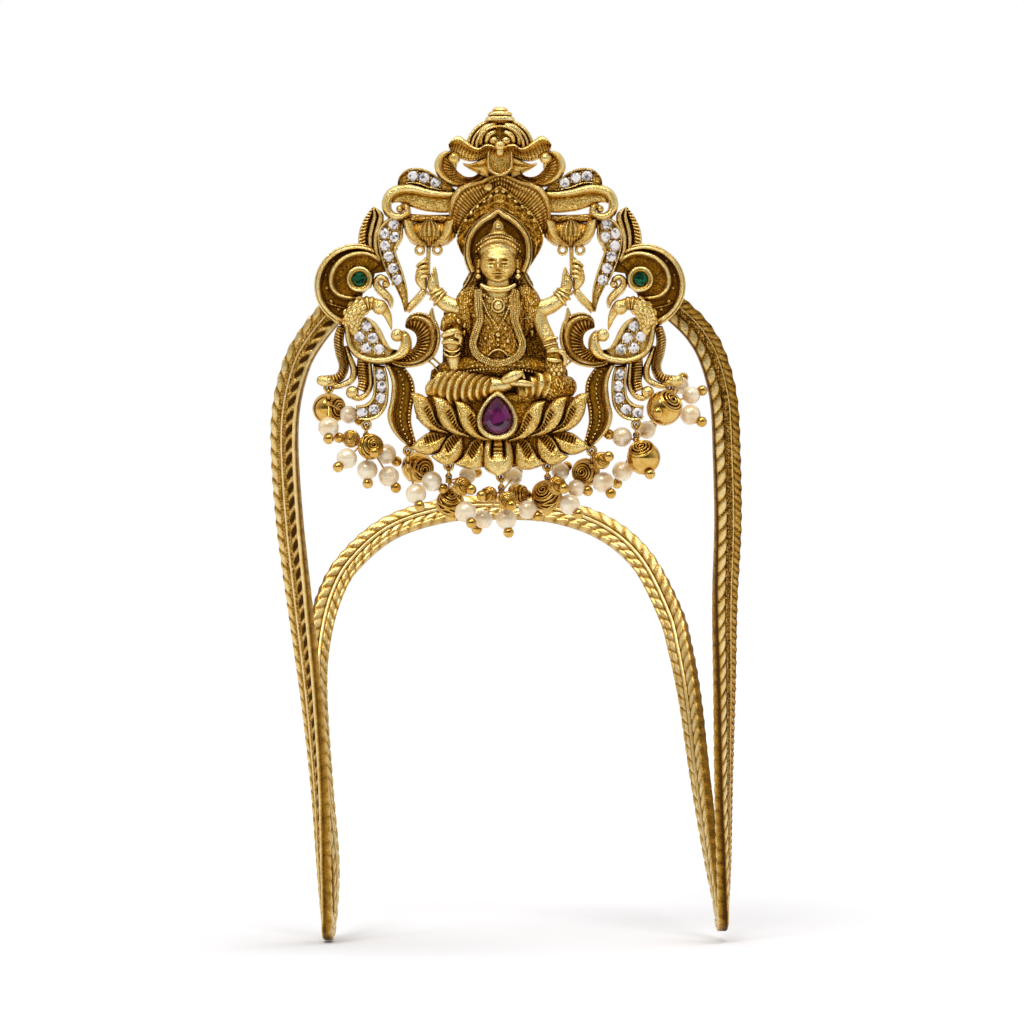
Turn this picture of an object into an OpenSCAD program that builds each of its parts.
// Temple armlet: an openwork cast plaque on a leaf-veined strip band, with stones and bead drops.
// Millimetres. X runs across the arm, -Y is the front, +Z runs up the arm.
// The origin is on the axis of the arm, level with the top of the rear arch.

/* [Band] */
// Width of the leaf strip
band_w = 4.3; // [3.8:0.1:4.8]
// Thickness of the strip at its edges
band_edge_t = 1.5; // [1.2:0.1:1.7]
// Thickness of the strip over its midrib
band_rib_t = 2; // [1.8:0.1:2.2]
// Distance from the axis of the arm to the rear arch
band_reach = 33; // [30:0.5:36]
// Depth of the hairpin tips below the rear arch
band_drop = 68; // [64:0.5:72]

/* [Plaque] */
// Distance from the axis of the arm to the back of the plaque
plaque_back = 33; // [32.9:0.1:34]
// Height of the stone channels over the back
channel_h = 2.3; // [2.1:0.1:2.6]
// Height of the channel floor under the stones
channel_floor = 1; // [0.8:0.1:1.1]
// Height of the crescent rims
crescent_h = 3; // [2.6:0.1:3.4]
// Height of the seated figure's chest
figure_h = 4.6; // [4.2:0.1:5]
// Height of the lotus seat
seat_h = 2.6; // [2.2:0.1:3]

/* [Stones] */
// Diameter of a white stone
white_d = 1.6; // [1.4:0.05:1.65]
// Diameter of a green stone
green_d = 2.8; // [2.4:0.1:2.9]
// Width of the pear-shaped stone
pear_w = 4.4; // [4:0.1:4.6]
// Height of the pear-shaped stone
pear_h = 5.8; // [5.2:0.1:6]

/* [Drops] */
// Diameter of a jump ring, to the middle of its wire
ring_d = 1.7; // [1.6:0.05:1.8]
// Diameter of the jump ring wire
ring_wire = 0.36; // [0.3:0.02:0.4]
// Diameter of the pin wire
pin_wire = 0.28; // [0.22:0.02:0.3]
// Diameter of the small ball that ends a pin
pin_ball_d = 1.6; // [1.4:0.1:1.7]
// Wall of a hollow gold ball
ball_wall = 0.35; // [0.3:0.05:0.5]

/* [Hidden] */
SIDES = [["left", -1], ["right", 1]];

// Gap left between neighbouring pieces
gap = 0.1;
// Sideways place of the figure and the lotus
figure_x = -0.3;

// Route of the strip from its left end to its right end. A row holds x, the reach as a share of
// band_reach, the height in millimetres or, where it is negative, as a share of band_drop, and the
// facing and the lean of the outer face in degrees. Facing 0 is to the front and 180 to the rear.
BAND = [
    [-24.6, -0.967, 35, 0, 0], [-27.6, -0.965, 31.5, 3, 0], [-30.4, -0.955, 27.9, 8, 0],
    [-32.6, -0.94, 24, 10, 0], [-34.3, -0.915, 17.6, 12, 0], [-34.8, -0.86, 10.5, 16, 0],
    [-34.2, -0.76, -0.02, 22, 0], [-32.9, -0.62, -0.215, 34, 0], [-31.4, -0.44, -0.437, 48, 0],
    [-30.3, -0.27, -0.662, 62, 0], [-29.8, -0.15, -0.863, 74, 0], [-29.4, -0.106, -0.985, 82, 0],
    [-29.3, -0.076, -1.02, 88, 0], [-29.2, 0, -1.035, 90, 0], [-29, 0.076, -1.02, 92, 0],
    [-28.9, 0.106, -0.985, 96, 0], [-29, 0.17, -0.875, 104, 0], [-30.7, 0.29, -0.675, 118, 4],
    [-32.2, 0.46, -0.46, 132, 12], [-32, 0.6, -0.33, 140, 20], [-30.3, 0.77, -0.218, 150, 26],
    [-27, 0.89, -0.131, 158, 30], [-20, 0.97, -0.043, 168, 30], [-10, 0.995, 0.3, 174, 30],
    [-0.4, 1, 0.8, 180, 30], [9.4, 0.995, 0.2, 186, 30], [18.4, 0.98, -0.043, 192, 30],
    [25.1, 0.89, -0.128, 202, 30], [29.8, 0.73, -0.262, 212, 26], [31.4, 0.6, -0.352, 220, 20],
    [32.9, 0.45, -0.481, 230, 12], [34.4, 0.28, -0.678, 242, 4], [36.2, 0.16, -0.875, 256, 0],
    [37.2, 0.106, -0.965, 264, 0], [37.4, 0.076, -0.999, 268, 0], [37.5, 0, -1.013, 270, 0],
    [37.6, -0.076, -0.999, 272, 0], [37.6, -0.106, -0.965, 278, 0], [37.6, -0.15, -0.863, 286, 0],
    [37.3, -0.27, -0.662, 298, 0], [37.1, -0.44, -0.437, 312, 0], [36.8, -0.62, -0.215, 326, 0],
    [37, -0.76, -0.03, 338, 0], [36.6, -0.86, 9, 344, 0], [36, -0.915, 18, 348, 0],
    [34.2, -0.94, 24.8, 350, 0], [31.8, -0.955, 29, 352, 0], [28.6, -0.965, 32.2, 357, 0],
    [25, -0.967, 35, 360, 0]
];

// Strokes of the plaque, left of its middle line. A row holds the place across, the height and
// the width of the stroke.
WING = [[0, 57.7, 1.3], [-3.4, 57.6, 2], [-5.6, 58, 2.8], [-7.5, 59, 2.3]];
UNDER_LEAF = [[-6, 55.6, 0.5], [-4.4, 55.5, 0.9], [-2.6, 56.2, 1.2], [-1.4, 57.2, 1]];
HOOK = [[-7.5, 56.5, 1], [-8.8, 57, 1.3], [-9.6, 55.8, 1.5], [-9, 53.9, 1.8], [-7, 52.9, 1.9],
        [-4.8, 52.9, 1.7], [-2.8, 54.2, 2.2]];
STONE_LEAF = [[-7.4, 51.6, 1.6], [-9.6, 52.2, 2.3], [-12, 53.3, 2.6], [-14.4, 53.7, 2.3],
              [-16.2, 53, 1.1]];
LONG_SCROLL = [[-6.4, 51.1, 0.8], [-9.4, 51, 0.9], [-12.6, 51.8, 1], [-15.6, 52.2, 1],
               [-17.8, 51, 1], [-18.1, 48.8, 1], [-16.6, 47.4, 1], [-15.1, 48.2, 1],
               [-15.8, 49.2, 1]];
GRAIN_LEAF = [[-7, 50, 2], [-10.4, 49.6, 2.8], [-13.6, 50.1, 2.6], [-17, 50.6, 1.4]];
HOOD_PETAL = [[-0.4, 53.5, 0.8], [-2.4, 52.9, 1.8], [-4.8, 51.4, 2.7], [-6.6, 49.2, 2.8], [-7.4, 46.6, 1.6],
              [-7, 44.8, 0.6]];
ARCH_RIM = [[-4.3, 38.6, 0.9], [-5.3, 41.2, 0.9], [-5.1, 44, 0.9], [-3.4, 46.6, 0.9],
            [0, 48.1, 0.9]];
LINK_BAR = [[-15.6, 47, 1.6], [-11.6, 46.8, 1], [-7, 46.8, 1.4]];
POINTED_LEAF = [[-20.2, 48.9, 0.4], [-20.7, 46.8, 2.3], [-21.3, 44.2, 3], [-21, 41.8, 2.8],
                [-19.8, 40, 1.4]];
STONE_CURVE = [[-16, 46.2, 2.6], [-17.6, 45, 4.1], [-17.7, 43, 4.2], [-17.8, 41, 2.9],
               [-17, 38.6, 2.3], [-16.1, 36.4, 2.1], [-15.4, 34.4, 1.3], [-15, 32.2, 0.8]];
LOTUS_STEM = [[-15, 32.3, 1], [-13.2, 33.8, 1.1], [-11.6, 35.6, 1.1], [-11.2, 38, 1],
              [-11.4, 42, 0.9]];
CREST = [[-18.8, 33, 0.9], [-19, 34.6, 0.9], [-19.8, 36, 1], [-19.2, 37, 1], [-18.4, 36.3, 1]];
NECK = [[-19.4, 32.8, 1.8], [-21, 33.6, 1.9], [-22.8, 33, 2.2], [-24, 31.2, 2],
        [-23.9, 29, 1.5]];
BREAST = [[-22.6, 30.2, 3], [-21.4, 27.8, 4.8], [-19.7, 26.2, 4], [-17.8, 25.4, 2]];
BREAST_RIM = [[-24.4, 29.6, 1.1], [-23.9, 27, 1.1], [-21.9, 25, 1.2], [-19.2, 24.3, 1.3],
              [-16.6, 24.8, 1.5], [-15.2, 26.6, 1.5], [-15.7, 28.2, 1.5], [-16.7, 28.2, 1.2]];
OUTER_FEATHER = [[-25.2, 30.2, 1.4], [-25.4, 27.6, 1.9], [-25.1, 24.6, 2], [-24.6, 22.2, 1.9],
                 [-25.8, 21, 1.7], [-28.4, 20.9, 1.5]];
INNER_FEATHER = [[-21.9, 24.6, 1.6], [-21.8, 22, 1.8], [-21.5, 19.8, 1.6], [-22.6, 18.7, 1.4],
                 [-23.7, 19.1, 1.6]];
STONE_TAIL = [[-19.5, 23.4, 1.6], [-19, 21.4, 2.3], [-18.9, 18.6, 2.4], [-19.9, 16.5, 2.4],
              [-22, 15.9, 2.2]];
LONG_LEAF = [[-17.8, 23.4, 1.6], [-16, 21.2, 3.2], [-15.5, 18, 3.8], [-15.7, 15, 3.8],
             [-14.9, 12.6, 2.6], [-14, 10.8, 1.2]];
C_SCROLL = [[-17.4, 23.8, 1.4], [-14.4, 24.1, 2], [-12.2, 25.4, 2.5], [-11.4, 27.6, 2.6],
            [-11.9, 29.8, 2.4], [-13.4, 30.6, 2], [-14.3, 29.4, 1.6]];
SEAT_PETALS = [
    [[-13.8, 19, 0.6], [-12.6, 17.3, 2.9], [-11, 15.2, 3.8], [-8.8, 13, 2.2]],
    [[-10.4, 18.5, 0.6], [-9.2, 16.9, 2.9], [-7.7, 14.8, 3.8], [-5.6, 12.7, 2.2]],
    [[-7, 18, 0.6], [-5.9, 16.4, 2.8], [-4.5, 14.3, 3.6], [-2.6, 12.4, 2]],
    [[-14, 10.4, 0.6], [-12.2, 10.9, 2.1], [-10.3, 11.6, 2.9], [-8.4, 12.4, 1.8]],
    [[-10.8, 8.9, 0.6], [-9.1, 9.4, 2.5], [-7.4, 10.4, 3.2], [-5.8, 11.8, 1.8]],
    [[-7.1, 7.7, 0.7], [-5.6, 8.3, 2.5], [-4.1, 9.5, 3.2], [-3, 11.4, 1.8]]
];
AUREOLE = [[0, 53.6], [-3.4, 51.6], [-6, 49], [-7, 45.4], [-6.5, 42.4], [-5.3, 40.2],
           [-4.2, 38.4], [-4.4, 36]];
SEAT = [[-13, 18.4], [-13.1, 15], [-10.9, 12.9], [-12.4, 11.2], [-12.2, 10.4], [-9, 9.2],
        [-4.6, 7.6], [0, 6.6]];

// Places of the white stones on the left side, across and up
WHITE_STONES = [
    [-13.9, 53.7], [-12.1, 53.4], [-10.3, 52.6],
    [-17, 46], [-18.5, 44.5], [-16.8, 43.9], [-18.4, 42.5], [-17.8, 40.8], [-17.1, 38.9], [-16.4, 37.1],
    [-21.9, 29.5], [-22.2, 27.7], [-20.4, 28.2], [-20.8, 26.5], [-19, 26.5],
    [-19.2, 22], [-18.9, 20.1], [-19, 18.2], [-20.1, 16.4], [-22, 15.9]
];
CRESCENT = [-22.9, 36.1];
GREEN = [-22.4, 37.1];
PEAR = [-0.4, 15.3];

// Place, thickness and depth in the plaque of the two rivets that hold the band, and the back of
// the band behind them
RIVET = [25.8, 33.75];
rivet_d = 1;
rivet_depth = 0.5;
band_back = 0.967 * band_reach - band_rib_t / 2;

// Hanging places of the nine drops, as the hole of each lug across and up. Balls and pearls are
// rows of their own, with the middle of the bead and its diameter. A ball's last value is the
// way its round mouth faces, in degrees from the front towards +X.
LUGS = [[-27.4, 19.8], [-21.4, 13.95], [-14.7, 9.8], [-8.2, 7.4], [0.2, 5.6], [7.6, 7.3],
        [14.7, 9.8], [21.8, 14], [27.4, 19.8]];
BALLS = [
    [[-27.6, -30.5, 16.6, 5.2, 55]],
    [[-23.8, -34.2, 11.7, 2.9, 30], [-20.6, -36.4, 10.4, 4.2, 85]],
    [[-13.3, -30.4, 7.2, 5.2, 45]],
    [[-8, -31.3, 1.5, 4.6, -10], [-6, -35.8, 4.1, 3, -40]],
    [[-1.7, -35.9, 2.8, 2.6, 40], [1.2, -36.9, 1.8, 3, -60], [2.7, -31.3, 2.9, 3.4, 50]],
    [[7.5, -31.3, 2.5, 5, -35], [9.1, -36.1, 4.2, 3, -60]],
    [[16.2, -35.8, 8.2, 2.8, -60], [13.8, -30.9, 6.4, 4.6, -50]],
    [[22.9, -35.7, 8.6, 5.4, -20]],
    [[26.1, -37.2, 16.5, 5.6, 55]]
];
PEARLS = [
    [[-27.3, -36, 13.5, 3.3], [-24.2, -33, 15.6, 2.9]],
    [[-24.4, -36, 8.5, 3.3], [-21.2, -34.5, 6.7, 3.3], [-18.3, -32.4, 9.3, 3.3],
     [-17.8, -33.8, 5.7, 3.3]],
    [[-13.4, -35.5, 2.9, 3.3], [-10.9, -33.7, 4.9, 3.3]],
    [[-5.2, -31.5, 5.9, 2.8], [-5.5, -36.2, 0, 3.4]],
    [[2.2, -28.8, 5.7, 2.8], [1, -34.6, -1.2, 3.3], [4.4, -33.5, 0.4, 3], [-2.7, -31.8, -1.2, 3]],
    [[9.7, -31, 6.5, 2.9], [11.1, -35.2, 1.2, 3.3], [12.2, -33.5, 3.8, 2.8]],
    [[16.5, -34.7, 4.7, 3.4]],
    [[19.5, -33.9, 12, 3.2], [23.6, -30.6, 13.2, 2.9], [19.6, -32.8, 6.5, 3.3]],
    [[28.9, -30.6, 20.4, 2.9], [30.6, -33.4, 18.7, 2.9], [30.4, -34.6, 15.5, 3.3]]
];

// Middle plane of the lugs, and the knot of a drop's pins below its lug hole
lug_y = -plaque_back - 0.8;
knot_drop = ring_d + 0.75;
pin_loop = ring_wire / 2 + pin_wire / 2 + gap;

function unit(v) = v / max(norm(v), 0.0001);
function blend(a, b, c, d, t) =
    0.5 * (2 * b + (c - a) * t + (2 * a - 5 * b + 4 * c - d) * t * t
           + (3 * b - a - 3 * c + d) * t * t * t);
function smooth(p, n) = concat(
    [for (i = [0 : len(p) - 2]) for (k = [0 : n - 1])
        blend(p[max(i - 1, 0)], p[i], p[i + 1], p[min(i + 2, len(p) - 1)], k / n)],
    [p[len(p) - 1]]
);
function mirrored(p) = concat(p, [for (i = [len(p) - 2 : -1 : 0]) [-p[i].x, p[i].y, p[i].z]]);

// Closed tube of triangles through rings that all hold m points
function tube_faces(rings, m) = concat(
    [[for (k = [m - 1 : -1 : 0]) k]],
    [[for (k = [0 : m - 1]) (rings - 1) * m + k]],
    [for (i = [0 : rings - 2]) for (k = [0 : m - 1])
        let (a = i * m + k, b = i * m + (k + 1) % m) each [[a, b, b + m], [a, b + m, a + m]]]
);

// Sections of a stroke. A point holds its place across as a share of the half width, and its
// height over the back of the plaque.
function crowned(high) = [[1, 0], [1, high * 0.65], [0.4, high], [-0.4, high], [-1, high * 0.65], [-1, 0]];
function rounded(high) = [[1, 0], [0.8, high * 0.7], [0, high], [-0.8, high * 0.7], [-1, 0]];
function channel(high, floor) = [[1, 0], [1, high], [0.8, floor], [-0.8, floor], [-1, high], [-1, 0]];
function fluted(high, floor) = [[1, 0], [1, high], [0.7, high], [0, floor], [-1, floor * 1.3], [-1, 0]];

module stroke(path, section, n = 2)
{
    q = smooth(path, n);
    last = len(q) - 1;
    points = [
        for (i = [0 : last])
            let (a = q[max(i - 1, 0)], b = q[min(i + 1, last)], t = unit([b.x - a.x, b.y - a.y]))
            for (s = section)
                [q[i].x + t.y * s.x * q[i].z / 2, -plaque_back - s.y, q[i].y - t.x * s.x * q[i].z / 2]
    ];
    polyhedron(points, tube_faces(last + 1, len(section)), convexity = 4);
}

module plate(outline, high, low = 0)
{
    translate([0, -plaque_back - low, 0]) rotate([90, 0, 0])
        linear_extrude(high - low) polygon(outline);
}

module both_sides() { for (side = SIDES) scale([-side[1], 1, 1]) children(); }

// A rounded lump whose middle is high above the back of the plaque
module lump(x, z, high, size, sides = 6)
{
    translate([x, -plaque_back - high, z]) scale(size) rotate([90, 0, 0]) sphere(1, $fn = sides);
}

module limb(a, b, ra, rb)
{
    hull()
    {
        translate([a.x, -plaque_back - a.z, a.y]) sphere(ra, $fn = 6);
        translate([b.x, -plaque_back - b.z, b.y]) sphere(rb, $fn = 6);
    }
}

function pear(w, h, n = 20) = [
    for (i = [0 : n - 1]) let (t = 360 * i / n) [w * 0.61 * sin(t) * pow(sin(t / 2), 0.6), h / 2 * cos(t)]
];
function arc(middle, r, from, to, n) = [
    for (i = [0 : n]) let (t = from + (to - from) * i / n) middle + r * [cos(t), sin(t)]
];

module finial()
{
    lump(0, 63.6, 1.6, [2.2, 1.4, 1.1], 10);
    lump(0, 62.6, 1.5, [1.5, 1.3, 0.9]);
    intersection()
    {
        lump(0, 58.6, 0, [5.3, 2.6, 4.1], 14);
        plate([[-6, 57.35], [6, 57.35], [6, 63], [-6, 63]], 3);
    }
    for (x = [-2.2, 0, 2.2]) lump(x, 60.4, 2, [1.2, 1.2, 1.3]);
    lump(0, 58.3, 2.6, [0.8, 0.8, 0.7]);
    stroke([[0, 57.4, 3], [0, 55.6, 3.4], [0, 54.2, 2.8], [0, 53.4, 1.2]], channel(3, 1.6), 1);
}

module top_leaves()
{
    both_sides()
    {
        stroke(WING, fluted(2.8, 1.4), 2);
        stroke(UNDER_LEAF, rounded(1.8), 1);
        stroke(HOOK, fluted(2.4, 1), 1);
        lump(-7.3, 56.2, 1.6, [0.9, 1.1, 0.9]);
        stroke(STONE_LEAF, channel(channel_h, channel_floor), 1);
        stroke(LONG_SCROLL, rounded(2.5), 1);
        stroke(GRAIN_LEAF, crowned(1.3), 1);
        stroke(LINK_BAR, crowned(1.2), 1);
    }
}

module hood()
{
    both_sides() stroke(HOOD_PETAL, fluted(3.2, 1.4), 1);
    difference()
    {
        plate(concat(AUREOLE, [for (i = [len(AUREOLE) - 1 : -1 : 1]) [-AUREOLE[i].x, AUREOLE[i].y]]), 2.2);
        plate([[-4.4, 38], [-4.9, 41.4], [-4.6, 44], [-3, 46.6], [0, 48], [3, 46.6], [4.6, 44],
               [4.9, 41.4], [4.4, 38]], 3, 0.7);
    }
    translate([figure_x, 0, 0]) stroke(mirrored(ARCH_RIM), rounded(3.2));
}

module figure()
{
    translate([figure_x, 0, 0])
    {
        // Head with a calm, plain face, under a pointed crown
        lump(0, 39.8, figure_h - 1.2, [2.8, 2.6, 3.4], 12);
        limb([0, 40.2, figure_h + 1.2], [0, 39.1, figure_h + 1.5], 0.2, 0.35);
        for (x = [-1, 1]) lump(x, 40.3, figure_h + 1, [0.5, 0.3, 0.2], 6);
        lump(0, 38, figure_h + 1, [0.7, 0.4, 0.25], 6);
        hull()
        {
            lump(0, 42.6, figure_h - 1.4, [3.3, 2.5, 0.9], 12);
            lump(0, 43.6, figure_h - 1.4, [2.6, 2.2, 0.6], 10);
        }
        translate([0, -plaque_back - figure_h + 1.6, 43.4])
            cylinder(3.6, 2.1, 0.2, $fn = 10);
        lump(0, 44.9, figure_h - 0.1, [0.6, 0.5, 0.6]);
        // Neck, shoulders and waist
        limb([0, 37, figure_h - 1.6], [0, 34.8, figure_h - 2], 1.6, 2.2);
        hull()
        {
            for (x = [-4.8, 4.8]) lump(x, 33.6, 2.2, [1.9, 2, 1.9], 8);
            lump(0, 34.4, 2.6, [3, 1.6, 1], 8);
            lump(0, 25.6, 2.2, [4.2, 2.6, 2.4], 10);
            lump(0, 31.4, figure_h - 1.6, [3, 1.8, 2.2], 8);
        }
        lump(-1.9, 31.4, figure_h - 0.9, [1.5, 1.1, 1.4]);
        lump(1.9, 31.4, figure_h - 0.9, [1.5, 1.1, 1.4]);
        both_sides() stroke([[-3.9, 39.4, 1], [-4.5, 37, 1.3], [-6, 35, 1.3]], crowned(3), 1);
        stroke(mirrored([[-3, 34.6, 1], [-2.9, 31, 1.1], [-3.7, 27.6, 1.1], [-2.9, 25.2, 1.1],
                         [0, 24.7, 1.1]]), rounded(figure_h + 1.3), 1);
        lump(0, 33, figure_h + 0.6, [0.9, 0.8, 0.9]);
    }
}

module arms()
{
    both_sides()
    {
        limb([-6, 33.4, 2], [-9.9, 34.6, 1.6], 1.4, 0.95);
        limb([-9.7, 34.2, 1.6], [-10.5, 35.2, 1.6], 1.15, 1.15);
        limb([-10.5, 35.8, 1.6], [-10.4, 38.8, 1.6], 1.05, 0.35);
        stroke(LOTUS_STEM, rounded(1.8), 1);
        limb([-12.4, 37, 1.2], [-11.9, 40.2, 1.2], 1.05, 0.4);
    }
    // The raised right hand of the figure
    limb([-6, 32.6, 2.2], [-7, 25.4, 2.2], 1.3, 1.2);
    limb([-7.6, 24.6, 2.4], [-7.7, 27.6, 3.2], 1.35, 1.35);
    lump(-7.6, 29.7, 3.2, [1.6, 1.1, 1.9]);
    // The lowered left hand of the figure
    limb([6, 32.6, 2.2], [7.6, 27.6, 2.6], 1.3, 1.2);
    limb([7.9, 26.6, 2.8], [8.4, 24.6, 3.2], 1.35, 1.3);
    lump(8.7, 22.8, 3.2, [1.3, 0.9, 2]);
}

module legs()
{
    translate([figure_x, 0, 0])
    {
        hull()
        {
            lump(-7.6, 20.4, 1.6, [3.6, 3, 2.6], 10);
            lump(2.6, 20.8, 3, [1.6, 1.4, 1.2], 8);
        }
        hull()
        {
            lump(8.6, 20.4, 1.6, [3.2, 3, 2.6], 10);
            lump(4.6, 19.8, 1.6, [2, 2, 1.6], 8);
        }
        hull()
        {
            lump(2.3, 21.15, 4.15, [1.15, 0.9, 0.75], 8);
            lump(4.9, 20.85, 3.9, [0.7, 0.65, 0.5], 8);
        }
        lump(0, 23.6, 1.6, [7.6, 1.8, 1.3], 10);
    }
}

module held_lotus()
{
    both_sides()
    {
        lump(-11.2, 44.2, 1.6, [3.6, 1.8, 1.7], 10);
        lump(-11.2, 45.2, 2.2, [1.3, 1.4, 1.5]);
        for (x = [-13.7, -8.7]) lump(x, 45.1, 1.9, [1.4, 1.2, 1.4]);
        for (x = [-12.7, -9.8]) lump(x, 42.2, 1.2, [0.9, 0.9, 0.8]);
    }
}

module seat()
{
    translate([figure_x, 0, 0])
    {
        plate(concat(SEAT, [for (i = [len(SEAT) - 1 : -1 : 0]) [-SEAT[i].x, SEAT[i].y]]), seat_h);
        for (i = [0 : 5]) both_sides() stroke(SEAT_PETALS[i], crowned(seat_h + (i < 3 ? 2 : 1.4)), 1);
        stroke([[0, 5.9, 1.8], [0, 7.4, 4.6], [0, 9.4, 4.9], [0, 11.4, 3.4]], crowned(seat_h + 2.2), 1);
    }
    translate([PEAR.x, -plaque_back, PEAR.y]) rotate([90, 0, 0])
        difference()
        {
            linear_extrude(seat_h + 3) polygon(pear(pear_w + 1.7, pear_h + 1.8));
            translate([0, 0, seat_h + 1.6]) linear_extrude(2) polygon(pear(pear_w + 0.3, pear_h + 0.4));
        }
}

module crescents()
{
    both_sides()
    {
        // Outer rim, inner rim, and the sunk floor that joins them
        stroke([for (p = arc(CRESCENT, 6.1, 52, 256, 9)) [p.x, p.y, 0.9]], rounded(crescent_h), 1);
        stroke([for (p = arc(GREEN + [-0.5, 0.1], 4, 44, 262, 9)) [p.x, p.y, 0.8]], rounded(crescent_h + 0.3), 1);
        plate(concat(arc(CRESCENT, 6.1, 52, 256, 12), [[-22.8, 32.2], [-21.9, 35], [-20.6, 36],
              [-20, 38.2], [-17.4, 38.6]]), 0.9);
        translate([GREEN.x, -plaque_back, GREEN.y]) rotate([90, 0, 0]) difference()
        {
            cylinder(3, d = green_d + 1.2, $fn = 16);
            translate([0, 0, 1.4]) cylinder(2, d = green_d + 3 * gap, $fn = 16);
        }
    }
}

module peacocks()
{
    both_sides()
    {
        lump(-19.3, 32.6, 1.8, [1.2, 1.2, 1.1]);
        limb([-18.6, 32, 1.6], [-17.6, 29.6, 1], 0.8, 0.25);
        stroke(CREST, rounded(1.7), 1);
        stroke(NECK, rounded(2.8), 1);
        stroke(BREAST, channel(channel_h, channel_floor), 1);
        stroke(BREAST_RIM, rounded(2.7), 1);
        stroke(OUTER_FEATHER, rounded(2.2), 1);
        stroke(INNER_FEATHER, rounded(2.1), 1);
        lump(-23.6, 19.1, 1.3, [0.95, 1.1, 0.9]);
        stroke(STONE_TAIL, channel(channel_h, channel_floor), 1);
    }
}

module side_leaves()
{
    both_sides()
    {
        stroke(POINTED_LEAF, fluted(1.6, 2), 1);
        stroke(STONE_CURVE, channel(channel_h, channel_floor), 1);
        stroke(LONG_LEAF, channel(2.6, 1.2), 1);
        stroke(C_SCROLL, fluted(2.6, 1.3));
        plate([[-13.8, 24.4], [-11.4, 25], [-9, 22.2], [-10.6, 21]], 1.4);
        plate([[-10.6, 31], [-6.6, 31.4], [-6.6, 28.4], [-10.8, 28.6]], 1.4);
        plate([[-14.6, 19.4], [-12.4, 18.6], [-12.4, 16.6], [-14.6, 16.6]], 1.4);
    }
}

module lugs()
{
    for (lug = LUGS) translate([lug.x, lug_y, lug.y]) rotate([90, 0, 0])
        difference()
        {
            union()
            {
                cylinder(0.6, d = 1.5, center = true, $fn = 8);
                translate([-0.5, 0, -0.3]) cube([1, 1.3, 0.6]);
            }
            cylinder(2, d = 0.9, center = true, $fn = 8);
        }
}

// Round hole for a rivet, from behind the band to a depth inside the plaque
module rivet_hole(side, depth)
{
    translate([side * RIVET.x, -plaque_back - depth, RIVET.y]) rotate([-90, 0, 0])
        cylinder(6, d = rivet_d + 3 * gap, $fn = 12);
}

module plaque()
{
    color("#b5872f") union()
    {
        finial();
        top_leaves();
        hood();
        figure();
        arms();
        legs();
        held_lotus();
        seat();
        difference()
        {
            crescents();
            for (side = SIDES) rivet_hole(side[1], rivet_depth + gap);
        }
        peacocks();
        side_leaves();
        lugs();
    }
}

// Middle of the strip at a row of its route
function route_point(r) = [r[0], r[1] * band_reach, r[2] < 0 ? r[2] * band_drop : r[2]];

module band()
{
    route = smooth([for (r = BAND) concat(route_point(r), r[3], r[4])], 2);
    last = len(route) - 1;
    section = [[1, -band_edge_t], [1, band_edge_t], [0.16, band_edge_t * 0.8], [0, band_rib_t],
               [-0.16, band_edge_t * 0.8], [-1, band_edge_t], [-1, -band_edge_t],
               [-0.16, -band_edge_t * 0.8], [0, -band_rib_t], [0.16, -band_edge_t * 0.8]] / 2;
    points = [
        for (i = [0 : last])
            let (r = route[i], a = route[max(i - 1, 0)], b = route[min(i + 1, last)],
                 along = unit([b[0] - a[0], b[1] - a[1], b[2] - a[2]]),
                 hint = [-sin(r[3]), -cos(r[3]), -tan(r[4])],
                 face = unit(hint - (hint * along) * along), wide = cross(along, face))
            for (s = section) [r[0], r[1], r[2]] + wide * s.x * band_w + face * s.y
    ];
    color("#c39a45") difference()
    {
        polyhedron(points, tube_faces(last + 1, len(section)), convexity = 6);
        for (side = SIDES) rivet_hole(side[1], gap);
    }
}

// A table, a sloping crown and a pointed base, with its table at the top of the z axis
module cut_stone(d, sides = 8)
{
    cylinder(d * 0.24, d1 = d, d2 = d * 0.6, $fn = sides);
    translate([0, 0, -d * 0.42]) cylinder(d * 0.42, d1 = 0, d2 = d, $fn = sides);
}

module place_stone(x, z, high) { translate([x, -plaque_back - high, z]) rotate([90, 0, 0]) children(); }

module white_stones(side)
{
    color("white") for (s = WHITE_STONES)
        place_stone(-side * s.x, s.y, channel_floor + gap + 0.42 * white_d) cut_stone(white_d);
}

module green_stone(side) { color("darkgreen") place_stone(-side * GREEN.x, GREEN.y, 2.7) cut_stone(green_d, 12); }

module pear_stone()
{
    color("purple") place_stone(PEAR.x, PEAR.y, seat_h + 2.6)
    {
        linear_extrude(1.1, scale = 0.62) polygon(pear(pear_w, pear_h));
        translate([0, 0, -0.8]) linear_extrude(0.8) polygon(pear(pear_w, pear_h));
    }
}

module ring_of(d, wire) { rotate_extrude($fn = 24) translate([d / 2, 0]) circle(d = wire, $fn = 16); }

// Turns the z axis into the direction v
module aim(v) { rotate([0, acos(v.z / norm(v)), atan2(v.y, v.x)]) children(); }

function knot(i) = [LUGS[i].x, lug_y, LUGS[i].y - knot_drop];

module drop_ring(i)
{
    color("gold") translate([LUGS[i].x, lug_y, LUGS[i].y - ring_d / 2]) rotate([0, 90, 0])
        ring_of(ring_d, ring_wire);
}

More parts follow.
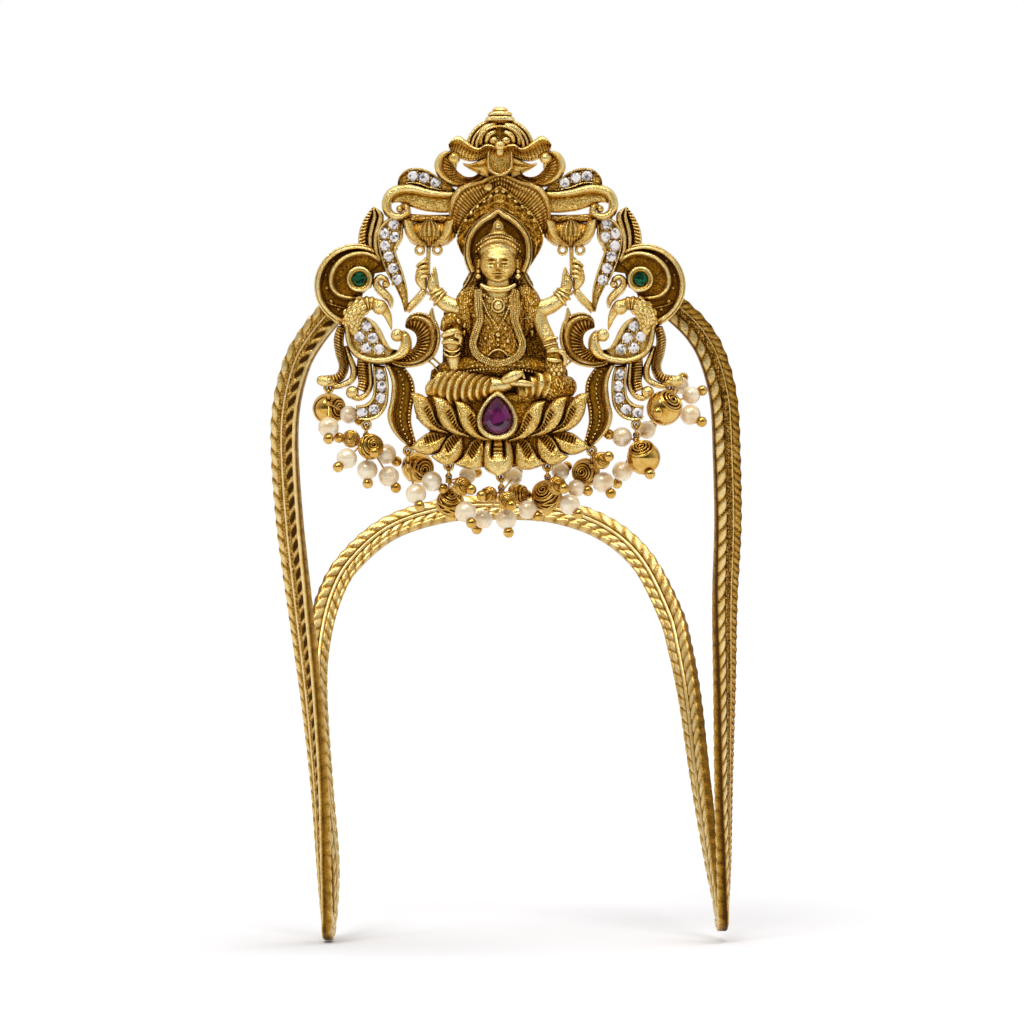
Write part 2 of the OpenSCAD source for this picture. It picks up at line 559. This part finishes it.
module drop_pins(i)
{
    start = knot(i);
    color("gold") union()
    {
        translate(start + [0, 0, 0.75]) rotate([90, 0, 0]) ring_of(2 * pin_loop, pin_wire);
        translate(start) sphere(d = 0.8, $fn = 24);
        for (bead = concat(BALLS[i], PEARLS[i]))
        {
            way = [bead[0], bead[1], bead[2]] - start;
            reach = norm(way) + bead[3] / 2 + 0.5;
            translate(start) aim(way)
            {
                translate([0, 0, 0.3]) cylinder(reach - 0.3, d = pin_wire, $fn = 16);
                translate([0, 0, reach]) sphere(d = pin_ball_d, $fn = 24);
            }
        }
    }
}

module drop_pearls(i)
{
    color("linen") for (bead = PEARLS[i])
    {
        middle = [bead[0], bead[1], bead[2]];
        translate(middle) aim(middle - knot(i)) difference()
        {
            sphere(d = bead[3], $fn = 32);
            cylinder(bead[3] + 2, d = pin_wire + 2 * gap, center = true, $fn = 16);
            translate([0, 0, bead[3] / 2 + 0.5]) sphere(d = pin_ball_d + 2 * gap, $fn = 24);
        }
    }
}

// Hollow ball of a given radius, drilled along the z axis and dished for the ball that ends its pin
module drilled_shell(r)
{
    hole = pin_wire / 2 + gap;
    rotate_extrude($fn = 32) difference()
    {
        translate([hole, -r]) square([r, 2 * r]);
        circle(r - ball_wall, $fn = 32);
        translate([0, r + 0.5]) circle(d = pin_ball_d + 2 * gap, $fn = 24);
        difference()
        {
            translate([0, -r - 1]) square([r + 1, 2 * r + 2]);
            circle(r, $fn = 32);
        }
    }
}

module drop_balls(i)
{
    color("goldenrod") for (bead = BALLS[i])
    {
        middle = [bead[0], bead[1], bead[2]];
        r = bead[3] / 2;
        mouth = 0.55 * r;
        translate(middle)
        {
            difference()
            {
                aim(middle - knot(i)) drilled_shell(r);
                rotate([0, 0, bead[4]]) rotate([90, 0, 0]) cylinder(r + 1, r = mouth, $fn = 24);
            }
            rotate([0, 0, bead[4]]) rotate([90, 0, 0])
                translate([0, 0, sqrt(r * r - mouth * mouth)]) ring_of(2 * mouth, ball_wall + 0.1);
        }
    }
}

module band_rivet(side)
{
    shank = rivet_depth + plaque_back - band_back + gap;
    color("#c39a45") translate([side * RIVET.x, -plaque_back - rivet_depth, RIVET.y]) rotate([-90, 0, 0])
    {
        cylinder(shank, d = rivet_d, $fn = 24);
        translate([0, 0, shank]) cylinder(0.6, d = 2 * rivet_d, $fn = 24);
    }
}

for (side = SIDES)
{
    band_rivet(side[1]);
    green_stone(-side[1]);
    white_stones(-side[1]);
}
band();
plaque();
pear_stone();
for (i = [0 : 8])
{
    drop_ring(i);
    drop_balls(i);
    drop_pearls(i);
    drop_pins(i);
}
